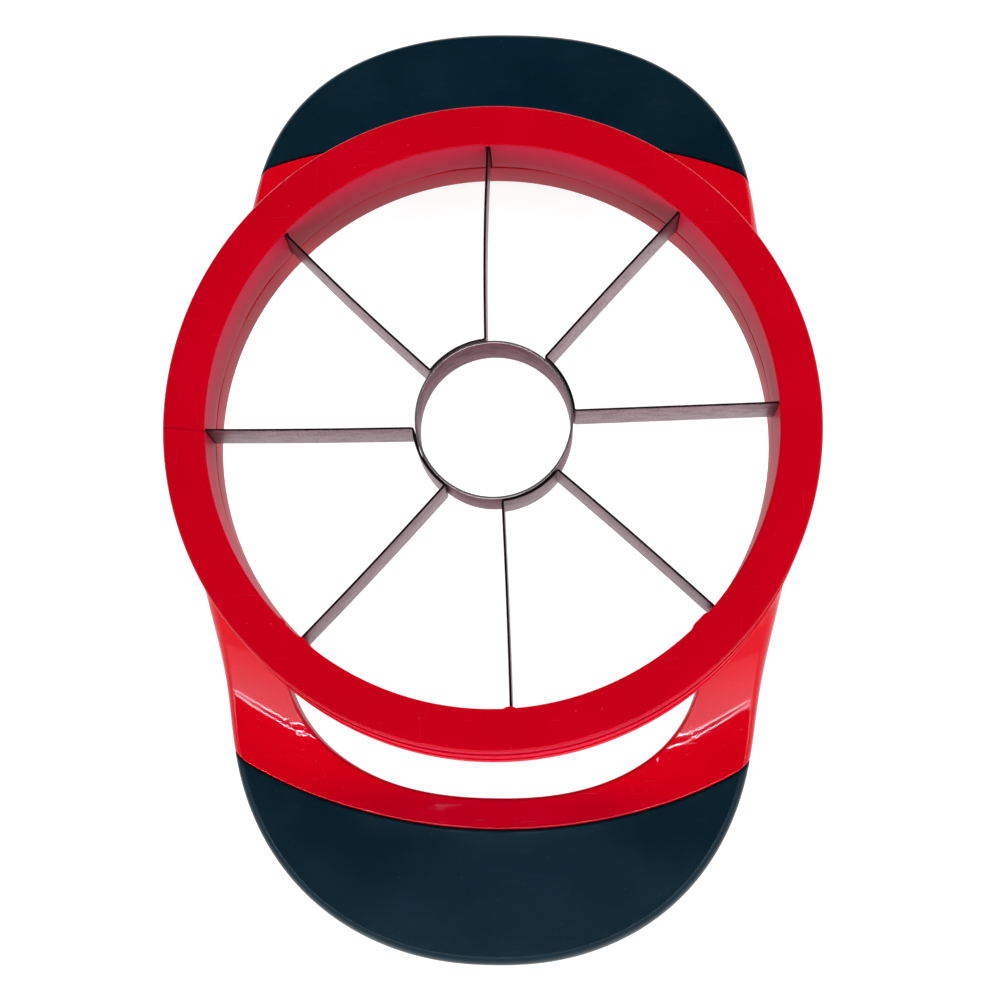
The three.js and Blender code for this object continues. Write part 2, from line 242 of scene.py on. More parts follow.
def red_abs(name, tone, gloss, tint, knit_line=None):
    """Glossy red ABS: faint flow clouds, orange peel, hairline scratches and a few pale specks. The
    middle of each pad is painted a little darker, a painted shade, and the upright walls take a
    pinkish cast, a painted reflection. A knit line is where two flows of the melt met, from one point
    in plan to another."""
    finish = Finish(name, IOR=1.2, Specular_IOR_Level=gloss, Specular_Tint=tint)
    clouds = finish.noise(0.06, 3.0)
    grain = finish.noise(1.4, 2.0)
    deep = (0.535 * tone, 0.0, 0.0085, 1)
    bright = (0.575 * tone, 0.0, 0.0105, 1)
    colour = finish.blend(finish.ramp(clouds, 0.3, 0.7), deep, bright)
    x, y, _ = position_parts(finish.nodes, finish.links, finish.place)
    # The middle of each pad is blended towards a deeper red: a painted shade.
    pad_painted_shade = finish.math("MULTIPLY", finish.ramp(finish.math("ABSOLUTE", x), 44, 16),
                             finish.ramp(finish.math("ABSOLUTE", y), 56, 63))
    colour = finish.blend(finish.math("MULTIPLY", pad_painted_shade, 0.30), colour, (0.0, 0.0, 0.012, 1))
    along = finish.scaled(finish.place, (0.10, 3.2, 1.0), (0, 0, 24))
    across = finish.scaled(finish.place, (2.7, 0.09, 1.0), (0, 0, -11))
    scratches = finish.math("ADD", finish.ramp(finish.noise(1.0, 1.0, at=along), 0.70, 0.76),
                            finish.ramp(finish.noise(1.0, 1.0, at=across), 0.72, 0.78))
    dust = finish.specks(0.35, 0.045)
    colour = finish.blend(finish.math("MULTIPLY", scratches, 0.02), colour, (0.8, 0.25, 0.28, 1))
    colour = finish.blend(finish.math("MULTIPLY", dust, 0.10), colour, (0.85, 0.42, 0.42, 1))
    if knit_line is not None:
        (x0, y0), (x1, y1) = knit_line
        run = math.hypot(x1 - x0, y1 - y0)
        start = -0.08 - (x0 * (y0 - y1) + y0 * (x1 - x0)) / run
        wander = finish.math("MULTIPLY_ADD", finish.noise(0.8, 2.0), 0.16, start)
        off = finish.math("MULTIPLY_ADD", x, (y0 - y1) / run, wander)
        off = finish.math("ABSOLUTE", finish.math("MULTIPLY_ADD", y, (x1 - x0) / run, off))
        knit = finish.math("MULTIPLY", finish.ramp(off, 0.13, 0.05), finish.ramp(x, -40, -41))
        colour = finish.blend(finish.math("MULTIPLY", knit, 0.75), colour, (0.20, 0.0, 0.004, 1))
    upright = finish.upright()
    # Upright walls are blended towards a pinkish-blue red: a painted reflection of the pale tent.
    # Their added roughness below is the mould's drag.
    wall = (0.57 * tone, 0.0, 0.06, 1)
    colour = finish.blend(finish.math("MULTIPLY", upright, 0.5), colour, wall)
    finish.wear(colour, "Base Color")
    rough = finish.math("MULTIPLY_ADD", clouds, 0.008, 0.012)
    rough = finish.math("MULTIPLY_ADD", scratches, 0.08, rough)
    rough = finish.math("MULTIPLY_ADD", grain, 0.006, rough)
    rough = finish.math("MULTIPLY_ADD", upright, 0.40, rough)
    finish.wear(rough, "Roughness")
    peel = finish.bump(finish.noise(0.35, 1.0), 0.000006, 0.5)
    fine = finish.bump(grain, 0.000001, 0.5, peel)
    finish.wear(finish.bump(scratches, 0.00001, 0.4, fine), "Normal")
    return finish.material


# The frame's red is painted lighter than the retaining ring's (tone 1.15 against 0.98): painted light
# on its arms.
red = red_abs("red_abs_frame", tone=1.15, gloss=0.5, tint=(1.0, 0.82, 0.93, 1))


def frame_ring():
    inner_wall = RING_INNER_R + SKIRT
    draft_r = RING_OUTER_R + RING_DRAFT
    inner_top = INNER_SEAM + SEAM_GAP
    outer_top = OUTER_SEAM + SEAM_GAP
    step_r = RING_OUTER_R + LEDGE + LEDGE_DRAFT
    section = rounded_section([
        (RING_INNER_R, inner_top, 0.15),
        (inner_wall, inner_top, 0.1),
        (inner_wall, CHANNEL_DEPTH, 0.4),
        (TONGUE_INNER_R, CHANNEL_DEPTH, 0.4),
        (TONGUE_INNER_R, TONGUE_DEPTH, 0.2),
        (TONGUE_OUTER_R, TONGUE_DEPTH, 0.2),
        (TONGUE_OUTER_R, outer_top, 0.1),
        (RING_OUTER_R + LEDGE, outer_top, 0.12),
        (step_r, LOWER_LEDGE_DEPTH, 0),
        (step_r + LOWER_LEDGE, LOWER_LEDGE_DEPTH, 0.1),
        (draft_r, RING_DEPTH, 0.7),
        (RING_INNER_R, RING_DEPTH, 0.6),
    ])
    corners, faces = closed_rows(turned_rows(section))
    return moulded("frame_moulding", corners, faces, red)


frame_moulding = frame_ring()


# Handle loops of the frame
# Two arms leave the ring at a tangent on each side, slope down and meet in a pad for the fingers.
# Past the grip's edge the same moulding carries on as a thinner tongue under the soft grip.

ARM_START_Y = 16.0
ARM_FLARE = 0.16
FLARE_BLEND = 11.0
END_HALF_WIDTH = 46.4
END_CENTRE_Y = 46.0
END_LENGTH = 45.88
END_POWER = 2.2
WINDOW_HALF_WIDTH = 37.2
WINDOW_CENTRE_Y = 35.0
WINDOW_LENGTH = 26.2
WINDOW_POWER = 2.3
FAN_Y = 30.0
FAN_START = 0.15
ARM_TRIM_R = 52.2
ARM_LINE = [
    (16, 8, 0.05), (25, 11.5, 0.8), (34, 21, 1.15), (43, 31, 0.95), (52.6, 39.5, 0.85), (92, 73, 0.85)]
THICKNESS_LINE = [(16, 10.8, 0), (34, 8.2, 0), (56, 8.4, 0.05), (76, 9.9, 0.06), (92, 11, 0)]
PAD_DEPTH = 47.9
PAD_SLOPE = 0.24
PAD_ARCH = 0.0053
BEND_BLEND = 7.0
CROWN = 1.6
CROWN_PEAK = 0.2
BASE_BLEND = 1.2
ROOT_FILLET = 1.6
ROOT_REACH = 0.93
GRIP_EDGE_Y = 66.8
GRIP_EDGE_R = 75.0
GRIP_TILT = math.radians(20)
OUTER_ROUND = 2.0
OUTER_CREASE = math.radians(10)
WINDOW_ROUND = 0.6
WINDOW_SHARE = 0.09
TONGUE_SKIN = 3.1
TONGUE_SHRINK = 0.6
KEEP_APART = 2.0
RED_EDGE_ROUND = 0.3
GRIP_GROOVE = 0.26
GRIP_EDGE_ROUND = 0.45
ROUND_STEPS = 6
EDGE_WALL = {0.006: 1.2, 0.014: 2.2}
EDGE_LEVELS = [*EDGE_WALL, 0.022, 0.06, 0.12, 0.19]
GRIP_LEVELS = [0.95, 1.25, 1.6]
EDGE_REACH = (-0.6, 1.9)
FLAT_SHARES = [0.004, 0.012, 0.03, *np.linspace(0.08, 0.92, 15), 0.97, 0.988, 0.996]
SIDE_STEPS = 23
RED_ROWS = 96
TONGUE_ROWS = 40
RAY_LENGTH = 100.0
RAY_HALVINGS = 34
PLACE_HALVINGS = 40
SWEEP_START = 0.05
SWEEP_STEPS = 700
TIP_GAP = 1e-4


def value_on(line, y):
    """Value at y on a side line: a smooth curve through its (y, value, slope) points."""
    line = np.array(line, float)
    y = np.clip(y, line[0, 0], line[-1, 0])
    i = np.clip(np.searchsorted(line[:, 0], y), 1, len(line) - 1)
    y0, d0, m0 = np.moveaxis(line[i - 1], -1, 0)
    y1, d1, m1 = np.moveaxis(line[i], -1, 0)
    span = y1 - y0
    t = (y - y0) / span
    blend = t * t * (3 - 2 * t)
    return d0 + (d1 - d0) * blend + t * (1 - t) ** 2 * span * m0 + t * t * (t - 1) * span * m1


def smaller_of(a, b, blend):
    near = np.maximum(blend - np.abs(a - b), 0) / blend
    return np.minimum(a, b) - near * near * blend / 4


def root_swell(x, y, depth):
    """How far an arm's surfaces swell where they run into the ring's outer wall."""
    away = np.hypot(x, y) - RING_OUTER_R - RING_DRAFT / 2
    short = np.clip(ROOT_FILLET - away, 0, ROOT_FILLET * ROOT_REACH)
    beside = np.clip((RING_DEPTH - depth) / ROOT_FILLET, 0, 1)
    return (ROOT_FILLET - np.sqrt(ROOT_FILLET ** 2 - short ** 2)) * beside * beside * (3 - 2 * beside)


def face_depth(x, y):
    pad = PAD_DEPTH + PAD_SLOPE * (y - GRIP_EDGE_Y) - PAD_ARCH * x * x
    return smaller_of(value_on(ARM_LINE, y), pad, BEND_BLEND)


def palm_depth(x, y):
    return smaller_of(face_depth(x, y) + value_on(THICKNESS_LINE, y), HEIGHT, BASE_BLEND)


def in_round_end(x, y, half_width, centre_y, length, power):
    across = np.maximum(x, 0) / half_width
    along = np.maximum(y - centre_y, 0) / length
    return across ** power + along ** power < 1


def in_outline(x, y):
    before = END_CENTRE_Y - y
    flare = ARM_FLARE * (before + np.hypot(before, FLARE_BLEND)) / 2
    return in_round_end(x - flare, y, END_HALF_WIDTH, END_CENTRE_Y, END_LENGTH, END_POWER)


def in_window(x, y):
    return in_round_end(x, y, WINDOW_HALF_WIDTH, WINDOW_CENTRE_Y, WINDOW_LENGTH, WINDOW_POWER)


def handle_edges(sweep):
    """Window edge and outline at each place along the loop: 0 and 2 at the roots, 1 at the tip."""
    half = np.minimum(sweep, 2 - sweep)
    start_y = ARM_START_Y + (FAN_Y - ARM_START_Y) * np.minimum(half / FAN_START, 1)
    angle = np.maximum(half - FAN_START, 0) / (1 - FAN_START) * math.pi / 2
    side = np.where(sweep <= 1, 1.0, -1.0)
    ends = []
    for inside in (in_window, in_outline):
        near = np.zeros_like(half)
        far = np.full_like(half, RAY_LENGTH)
        for _ in range(RAY_HALVINGS):
            middle = (near + far) / 2
            within = inside(middle * np.cos(angle), start_y + middle * np.sin(angle))
            near = np.where(within, middle, near)
            far = np.where(within, far, middle)
        ends.append(np.stack([side * near * np.cos(angle), start_y + near * np.sin(angle)], -1))
    return ends


def handle_points(sweep, skin, places):
    """Points of the handle's surface for a grid of places along it by places round it, each
    point set inwards by a skin."""
    kind, amount, share = places
    inner, outer = handle_edges(sweep)
    width = np.linalg.norm(outer - inner, axis=-1)
    shrink = 1 - TONGUE_SHRINK * np.clip(skin / TONGUE_SKIN, 0, 1)
    round_off = OUTER_ROUND * (1 - math.sin(OUTER_CREASE))
    across = WINDOW_ROUND + amount * (width - round_off - WINDOW_ROUND)
    across = np.minimum(across, width - skin - round_off * shrink - (1 - amount) * KEEP_APART)
    distance = np.where(kind == 0, skin + amount * shrink, across)
    distance = np.where(kind == 2, width - skin - amount * shrink, distance)
    xy = inner + (outer - inner) * (distance / width)[..., None]
    x, y = xy[..., 0], xy[..., 1]
    face = face_depth(x, y) + CROWN * (distance / width - CROWN_PEAK) ** 2
    palm = palm_depth(x, y)
    face = face + skin - root_swell(x, y, face)
    palm = palm - skin + root_swell(x, y, palm)
    depth = face + share * (palm - face)
    return np.stack([x, y, HEIGHT - depth], -1)


def grip_side(points):
    """Distance past the arc where the soft grip starts, in the handle's tilted plane."""
    y = points[..., 1] - GRIP_EDGE_Y
    z = points[..., 2] - (HEIGHT - face_depth(np.float64(0), np.float64(GRIP_EDGE_Y)))
    along = y * math.cos(GRIP_TILT) - z * math.sin(GRIP_TILT)
    x = np.minimum(np.abs(points[..., 0]), GRIP_EDGE_R - 1)
    return along - (np.sqrt(GRIP_EDGE_R ** 2 - x ** 2) - GRIP_EDGE_R)


def side_at_tip(amount, share):
    """The same distance for a place across the flat on the handle's middle line."""
    places = (np.ones(1), np.array([amount]), np.array([share]))
    return grip_side(handle_points(np.ones((1, 1)), 0.0, places))[0, 0]


def round_steps(radius, first, last):
    """Distances from an edge at which a rounding of that radius has its steps."""
    return [radius * (1 - math.sin(a)) for a in np.linspace(first, last, ROUND_STEPS)]


def places_across(share):
    """Places across the face or the palm side, close together where the grip's edge runs along
    the handle. Each has a limit to the skin, so that the edge's wall is upright."""
    edge = [-away for away in round_steps(RED_EDGE_ROUND, 0, 1.35)]
    edge += EDGE_LEVELS
    edge += [GRIP_GROOVE + 0.004 + away for away in round_steps(GRIP_EDGE_ROUND, math.pi / 2, 0)]
    edge += GRIP_LEVELS
    made = []
    for level in edge:
        low, high = 0.0, 1.0
        for _ in range(PLACE_HALVINGS):
            middle = (low + high) / 2
            if side_at_tip(middle, share) > level:
                high = middle
            else:
                low = middle
        made.append((high, EDGE_WALL.get(level, TONGUE_SKIN)))
    for amount in FLAT_SHARES:
        if not EDGE_REACH[0] < side_at_tip(amount, share) < EDGE_REACH[1]:
            made.append((amount, TONGUE_SKIN))
    return sorted(made)


def section_places():
    """Places round a section: whether the amount is a distance from the window edge, a share of
    the flat or a distance from the outline, the share of the thickness, and the skin's limit."""
    places = []
    for a in np.linspace(math.pi / 2, 0, ROUND_STEPS):
        places.append((0, WINDOW_ROUND * (1 - math.sin(a)), WINDOW_SHARE * (1 - math.cos(a)), 0))
    for amount, limit in places_across(0.0):
        places.append((1, amount, 0.0, limit))
    for a in np.linspace(OUTER_CREASE, math.pi - OUTER_CREASE, SIDE_STEPS):
        share = (math.cos(OUTER_CREASE) - math.cos(a)) / (2 * math.cos(OUTER_CREASE))
        places.append((2, OUTER_ROUND * (1 - math.sin(a)), share, TONGUE_SKIN))
    for amount, limit in reversed(places_across(1.0)):
        places.append((1, amount, 1.0, limit))
    for a in np.linspace(0, math.pi / 2, ROUND_STEPS):
        places.append((0, WINDOW_ROUND * (1 - math.sin(a)), 1 - WINDOW_SHARE * (1 - math.cos(a)), 0))
    return np.array(places, float).T


*PLACES, SKIN_LIMIT = section_places()
SWEEPS = np.linspace(SWEEP_START, 1.0, SWEEP_STEPS)
SIDE = grip_side(handle_points(np.repeat(SWEEPS[:, None], len(SKIN_LIMIT), 1), 0.0, PLACES))


def sweep_at(level):
    """How far along the right arm each place gets that far past the grip's edge, or 1 if never."""
    past = SIDE > level
    first = np.maximum(past.argmax(axis=0), 1)
    columns = np.arange(len(SKIN_LIMIT))
    a, b = SIDE[first - 1, columns] - level, SIDE[first, columns] - level
    found = SWEEPS[first - 1] + (SWEEPS[first] - SWEEPS[first - 1]) * a / (a - b)
    return np.where(past.any(axis=0), found, 1.0)


def rounding(away, radius):
    """How far a rounded edge lies under the surface, at a distance from the edge."""
    short = np.clip(radius - away, 0, radius)
    return radius - np.sqrt(radius ** 2 - short ** 2)


def both_halves(half):
    """Sweeps and skins of the rows of the right half and of their mirror images. The rows keep
    a small distance where they would meet at the tip."""
    sweep = np.array([s for s, _ in half])
    skin = np.array([[k] for _, k in half], float)
    sweep = np.minimum(sweep, 1 - TIP_GAP * np.arange(len(half))[::-1, None])
    return np.r_[sweep, 2 - sweep[-2::-1]], np.r_[skin, skin[-2::-1]]


def red_loop():
    """Right arm, tongue and left arm of the rear handle, as one closed skin."""
    run, edge = sweep_at(-RED_EDGE_ROUND), sweep_at(0.0)
    half = [(run * t, 0) for t in np.linspace(0, 1, RED_ROWS)[:-1]]
    half += [(sweep_at(-away), 0) for away in round_steps(RED_EDGE_ROUND, 0, math.pi / 2)]
    half += [(edge, skin) for skin in EDGE_WALL.values()]
    half += [(edge + (1 - edge) * t, TONGUE_SKIN) for t in np.linspace(0, 1, TONGUE_ROWS)]
    sweep, wall = both_halves(half)
    side = grip_side(handle_points(sweep, 0.0, PLACES))
    skin = np.maximum(rounding(-side, RED_EDGE_ROUND), np.minimum(wall, SKIN_LIMIT) * (SIDE[-1] > 0))
    return handle_points(sweep, skin, PLACES)


def join_or_cut(piece, other, operation):
    """Joins another closed piece to this one, or cuts it out, and leaves only the result."""
    step = piece.modifiers.new(operation, "BOOLEAN")
    step.operation = operation
    step.object = other
    step.solver = "MANIFOLD"
    depsgraph = bpy.context.evaluated_depsgraph_get()
    made = bpy.data.meshes.new_from_object(piece.evaluated_get(depsgraph))
    piece.modifiers.clear()
    piece.data = made
    bpy.data.objects.remove(other)


def ring_bore(radius, low, high, steps=RING_STEPS):
    """A round cutter along the ring's axis, in millimetres of radius and height."""
    angles = np.arange(steps) / steps * 2 * math.pi
    circle = np.stack([radius * np.cos(angles), radius * np.sin(angles)], -1)
    rows = np.stack([np.c_[circle, np.full(steps, z)] for z in (low, high)])
    corners, faces = closed_rows(rows, loop=False)
    return moulded("bore", corners, faces, None)


for end in (1, -1):
    corners, faces = closed_rows(red_loop() * [1, end, 1], loop=False)
    loop = moulded("handle_loop", corners, faces, red)
    join_or_cut(loop, ring_bore(ARM_TRIM_R, -5, HEIGHT + 5), "DIFFERENCE")
    join_or_cut(frame_moulding, loop, "UNION")
frame_moulding.data.shade_smooth()
frame_moulding.data.set_sharp_from_angle(angle=math.radians(32))
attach(frame_moulding, "root")
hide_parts("frame")


# Soft grips
# A dark soft-touch elastomer is moulded over the tongue of each handle, flush with the red
# plastic. Its rounded edge leaves a fine groove against the red arms.

POCKET_SKIN = 2.8
GRIP_ROWS = 100
SOFT_DARK = (0.0009, 0.0120, 0.0215, 1)
SOFT_PALE = (0.0027, 0.0172, 0.0290, 1)


def soft_touch():
    """Satin elastomer: a fine mottled texture, faint rub marks and lint."""
    finish = Finish("soft_touch", IOR=1.45, Specular_IOR_Level=0.05)
    clouds = finish.noise(0.05, 3.0)
    grain = finish.noise(2.6, 3.0)
    colour = finish.blend(finish.ramp(clouds, 0.3, 0.7), SOFT_DARK, SOFT_PALE)
    along = finish.scaled(finish.place, (0.08, 1.9, 1.0), (0, 0, 12))
    rubs = finish.ramp(finish.noise(1.0, 2.0, at=along), 0.62, 0.74)
    colour = finish.blend(finish.math("MULTIPLY", rubs, 0.08), colour, (0.05, 0.08, 0.10, 1))
    lint = finish.specks(0.5, 0.05)
    colour = finish.blend(finish.math("MULTIPLY", lint, 0.2), colour, (0.16, 0.2, 0.22, 1))
    finish.wear(colour, "Base Color")
    rough = finish.math("MULTIPLY_ADD", clouds, 0.08, 0.26)
    rough = finish.math("MULTIPLY_ADD", rubs, -0.05, rough)
    finish.wear(rough, "Roughness")
    texture = finish.bump(grain, 0.00003, 0.5)
    finish.wear(finish.bump(clouds, 0.0003, 0.3, texture), "Normal")
    return finish.material


soft = soft_touch()


def grip_loop():
    """The rear grip as rows from edge to edge: each row is an outline round the outside and back
    round the pocket for the tongue."""
    covered = SIDE[-1] > GRIP_GROOVE
    edge = [sweep_at(GRIP_GROOVE + away) for away in round_steps(GRIP_EDGE_ROUND, math.pi / 2, 0)]
    half = [(s[covered], 0) for s in edge[:-1]]
    run = edge[-1][covered]
    half += [(run + (1 - run) * t, 0) for t in np.linspace(0, 1, GRIP_ROWS)]
    sweep, _ = both_halves(half)
    places = [values[covered] for values in PLACES]
    side = grip_side(handle_points(sweep, 0.0, places)) - GRIP_GROOVE
    outside = handle_points(sweep, rounding(side, GRIP_EDGE_ROUND), places)
    pocket = handle_points(sweep, np.full(sweep.shape, POCKET_SKIN), places)
    rows = np.concatenate([outside, pocket[:, ::-1]], axis=1)
    corners, faces = closed_rows(rows, loop=False)
    count, width = rows.shape[:2]
    across = [[j, j + 1, width - 2 - j, width - 1 - j] for j in range(width // 2 - 1)]
    last = width * (count - 1)
    first_end = [quad[::-1] for quad in across]
    last_end = [[last + j for j in quad] for quad in across]
    return corners, faces[:-2] + first_end + last_end


for end, name in ((1, "rear_grip"), (-1, "front_grip")):
    corners, faces = grip_loop()
    grip = moulded(name + "_cover", corners * [1, end, 1], faces, soft)
    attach(grip, "root")
    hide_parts(name)


# Blade strips
# Four bent strips of thin cold-rolled stainless steel. Each is two blades with the arc between
# them, which lies against the corer ring, and a foot at each end that the rings trap.

STEEL = 0.4
BLADE_DEPTH = 1.2
BLADE_HEIGHT = 10.45
HUB = np.array([0.34, 0.35])
STRIP_HUB_R = 13.66
HUB_OVAL = 0.13
FOOT_R = 50.2
FOOT_ANGLE = 4.4
FOOT_FROM_RIM = 0.25
FOOT_CLEARANCE = 0.3
BEND_R = 1.0
RIM_BEND_R = 0.8
CUT_FILLET = 0.09
BACK_FILLET = 0.07
HUB_STEPS = 40
BLADE_STEPS = 30
STRIP_TINT = (0.91, 0.87, 0.89)
# Near-edge colour of the strips: a painted dark reflection.
STRIP_EDGE_PAINTED_SHADE = (0.05, 0.032, 0.036, 1)
STEEL_MARK = (0.012, 0.008, 0.010, 1)
# The last column darkens each strip's steel, a painted shade, most on the front strips.
STRIPS = [
    ("blade_strip_rear_right", (4.6, 49.8), (7.2, 52.0), (0.0, 0.1), 0.0, 0.95),
    ("blade_strip_rear_left", (91.9, 138.1), (97.2, 142.9), (0.35, 0.3), 0.0, 0.90),
    ("blade_strip_front_left", (182.6, 230.3), (187.3, 235.0), (0.1, 0.2), 0.05, 0.85),
    ("blade_strip_front_right", (274.9, 320.6), (277.3, 322.3), (0.1, 0.15), 0.08, 0.68),
]


def polar(radius, degrees):
    return radius * np.array([math.cos(math.radians(degrees)), math.sin(math.radians(degrees))])


def eased(points, radius, steps=6):
    """The path with each sharp bend replaced by a small arc."""
    path = [points[0]]
    for before, here, after in zip(points, points[1:], points[2:]):
        a, b = before - here, after - here
        la, lb = np.linalg.norm(a), np.linalg.norm(b)
        run = min(radius, la * 0.45, lb * 0.45)
        start, end = here + a / la * run, here + b / lb * run
        for t in np.linspace(0, 1, steps):
            path.append((1 - t) ** 2 * start + 2 * t * (1 - t) * here + t * t * end)
    path.append(points[-1])
    return path


def hub_radius(radius, degrees):
    """Radius of the slightly oval hub, which is longest from front to rear."""
    return radius - HUB_OVAL * math.cos(math.radians(2 * degrees))


def strip_path(rim, hub, bows, stand_off):
    """Middle line of a strip in plan, with the slight bow that the thin blades have."""
    first, last = polar(FOOT_R, rim[0]), polar(FOOT_R, rim[1])
    arc = []
    for degrees in np.linspace(hub[0], hub[1], HUB_STEPS):
        arc.append(HUB + polar(hub_radius(STRIP_HUB_R + stand_off, degrees), degrees))
    ends = []
    for rim_end, hub_end, bow in ((first, arc[0], bows[0]), (last, arc[-1], bows[1])):
        run = hub_end - rim_end
        side = np.array([-run[1], run[0]]) / np.linalg.norm(run)
        t = np.linspace(0, 1, BLADE_STEPS)[1:-1]
        ends.append([rim_end + run * k - side * bow * math.sin(math.pi * k) for k in t])
    start = [polar(FOOT_R, rim[0] - FOOT_ANGLE * t) for t in (1, 0.5)]
    finish = [polar(FOOT_R, rim[1] + FOOT_ANGLE * t) for t in (0.5, 1)]
    body = eased(start + [first, ends[0][0]], RIM_BEND_R)[:-1] + ends[0]
    hub_in = eased([ends[0][-1], arc[0], arc[3]], BEND_R)[1:-1]
    hub_out = eased([arc[-4], arc[-1], ends[1][-1]], BEND_R)[1:-1]
    tail = eased([ends[1][0], last] + finish, RIM_BEND_R)[1:]
    return np.array(body + hub_in + arc[4:-4] + hub_out + ends[1][::-1] + tail)


def sheet_rows(path, outline):
    """Rows of a sheet along a path from an outline of (distance from the middle line, depth).
    Past the ring's inner wall the sheet stays low enough to pass under the retaining ring."""
    tangent = np.gradient(path, axis=0)
    tangent /= np.linalg.norm(tangent, axis=1)[:, None]
    side = np.stack([-tangent[:, 1], tangent[:, 0]], -1)
    rows = []
    for point, normal in zip(path, side):
        low = np.hypot(*point) > RING_INNER_R + FOOT_FROM_RIM
        row = []
        for offset, depth in outline:
            x, y = point + normal * offset
            if low:
                depth = max(depth, TONGUE_DEPTH + FOOT_CLEARANCE)
            row.append((x, y, HEIGHT - depth))
        rows.append(row)
    return np.array(rows)


def steel_section(middle):
    """Outline of the sheet round its middle line, with its cut edges rounded."""
    left, right = middle - STEEL / 2, middle + STEEL / 2
    far = BLADE_DEPTH + BLADE_HEIGHT
    return rounded_section([
        (left, BLADE_DEPTH, CUT_FILLET),
        (right, BLADE_DEPTH, CUT_FILLET),
        (right, far, BACK_FILLET),
        (left, far, BACK_FILLET),
    ], steps=3)


def strip_steel(name, painted_shade, grazing, blotches, edge_painted_light, edge_rough):
    """Rolled stainless: streaks along the strip, blotches, grain, short dark marks and pits. The whole
    colour is darkened by a painted shade, and the near edge carries a painted reflection line, dark on
    the strips and pale on the corer.
    """
    finish = Finish(name, Metallic=1.0, Specular_Tint=(*grazing, 1))
    place = finish.nodes.new("ShaderNodeUVMap")
    place.uv_map = "strip"
    flat = place.outputs["UV"]
    streaks = finish.noise(1.0, 4.0, 0.6, at=finish.scaled(flat, (0.16, 7.0, 1.0)))
    clouds = finish.noise(0.30, 4.0, 0.6, at=finish.scaled(flat, (1, 1.6, 1)))
    grain = finish.noise(2.6, 3.0, 0.7, at=flat)
    marks = finish.ramp(finish.noise(1.0, 2.0, at=finish.scaled(flat, (0.45, 2.4, 1.0))), 0.66, 0.70)
    pits = finish.specks(0.55, 0.16, at=flat)

    # The shade factor darkens all of the steel's colours: a painted shade.
    def shaded(*colour):
        return *(np.array(colour) * painted_shade), 1

    dark, pale = shaded(0.20, 0.116, 0.136), shaded(0.32, 0.20, 0.23)
    blotch = shaded(0.09, 0.045, 0.053)
    colour = finish.blend(finish.ramp(streaks, 0.3, 0.7), dark, pale)
    layers = [
        (finish.math("MULTIPLY", finish.ramp(clouds, 0.48, 0.60), blotches), blotch),
        (finish.math("MULTIPLY", finish.ramp(grain, 0.53, 0.64), 0.5), shaded(0.50, 0.42, 0.44)),
        (finish.math("MULTIPLY", finish.ramp(grain, 0.47, 0.37), 0.6), shaded(0.07, 0.04, 0.045)),
        (finish.math("MULTIPLY", pits, 0.5), shaded(0.06, 0.04, 0.04)),
        (finish.math("MULTIPLY", marks, 0.85), STEEL_MARK),
    ]
    # The near cut edge's colour is painted: a dark reflection line on the strips, a pale highlight
    # line on the corer.
    _, _, height = position_parts(finish.nodes, finish.links, finish.place)
    near_edge = HEIGHT - BLADE_DEPTH
    edge = finish.ramp(height, near_edge - 0.14, near_edge - 0.05)
    layers.append((finish.math("MULTIPLY", edge, 0.9), edge_painted_light))
    for share, over in layers:
        colour = finish.blend(share, colour, over)
    finish.wear(colour, "Base Color")
    rough = finish.math("MULTIPLY_ADD", streaks, 0.20, 0.22)
    rough = finish.math("MULTIPLY_ADD", clouds, 0.12, rough)
    rough = finish.math("MULTIPLY_ADD", edge, edge_rough, rough)
    finish.wear(rough, "Roughness")
    rolled = finish.bump(streaks, 0.00002, 0.5, finish.bump(grain, 0.00003, 0.5))
    finish.wear(finish.bump(pits, 0.00006, 0.6, rolled), "Normal")
    return finish.material


def lay_uv(piece, along, width):
    """Lays a flat map in millimetres on a sheet: along its path and down its height."""
    mesh = piece.data
    layer = mesh.uv_layers.new(name="strip")
    corner = np.zeros(len(mesh.loops), int)
    mesh.loops.foreach_get("vertex_index", corner)
    heights = np.array([v.co.z for v in mesh.vertices]) * 1000
    places = np.stack([along[np.arange(len(mesh.vertices)) // width], heights], -1)
    layer.data.foreach_set("uv", places[corner].ravel())


sheet = steel_section(0)
for name, rim, hub, bows, stand_off, painted_shade in STRIPS:
    path = strip_path(rim, hub, bows, stand_off)
    rows = sheet_rows(path, sheet)
    corners, faces = closed_rows(rows, loop=False)
    steel = strip_steel(name + "_steel", painted_shade, STRIP_TINT, blotches=0.5,
                        edge_painted_light=STRIP_EDGE_PAINTED_SHADE, edge_rough=0.0)
    strip = moulded(name + "_sheet", corners, faces, steel)
    steps = np.linalg.norm(np.diff(path, axis=0), axis=1)
    lay_uv(strip, np.r_[0, np.cumsum(steps)] + rim[0], len(sheet))
    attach(strip, "root")
    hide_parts(name)


# Corer ring
# A short length of the same steel, rolled into a ring, butted and spot-welded to the strips'
# arcs. Its near edge cuts round the core.

CORER_R = 13.18
CORER_STEPS = 240
CORER_WOBBLE = 0.03
# The corer's steel is painted darker and redder than the strips': a painted shade.
CORER_PAINTED_SHADE = (0.42, 0.26, 0.30)
CORER_TINT = (0.80, 0.66, 0.71)
# Near-edge colour of the corer: a painted highlight.
CORER_EDGE_PAINTED_HIGHLIGHT = (0.42, 0.38, 0.39, 1)


